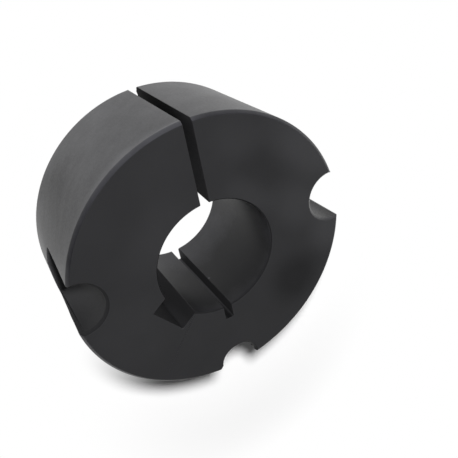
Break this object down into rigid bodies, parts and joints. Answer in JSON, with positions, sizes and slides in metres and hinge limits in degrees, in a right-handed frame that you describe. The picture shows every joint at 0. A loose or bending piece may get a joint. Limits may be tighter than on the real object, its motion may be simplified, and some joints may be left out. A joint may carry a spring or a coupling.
{
  "type": "taper bush",
  "caption": "Tapered split bush with a keyed bore and half-holes for set screws on its taper; drawn into a hub, it closes on the shaft.",
  "frame": {"origin": "on the bush's axis, at the small-end face that it stands on", "axes": "+Z runs along the axis from the small end to the large end; the split lies midway between +X and +Y, and the keyway lies near -X"},
  "size_m": [0.057, 0.057, 0.0254],
  "materials": {
    "black_iron": "satin"
  },
  "bodies": {
    "root": {"taper_bush": "black_iron"}
  },
  "joints": []
}
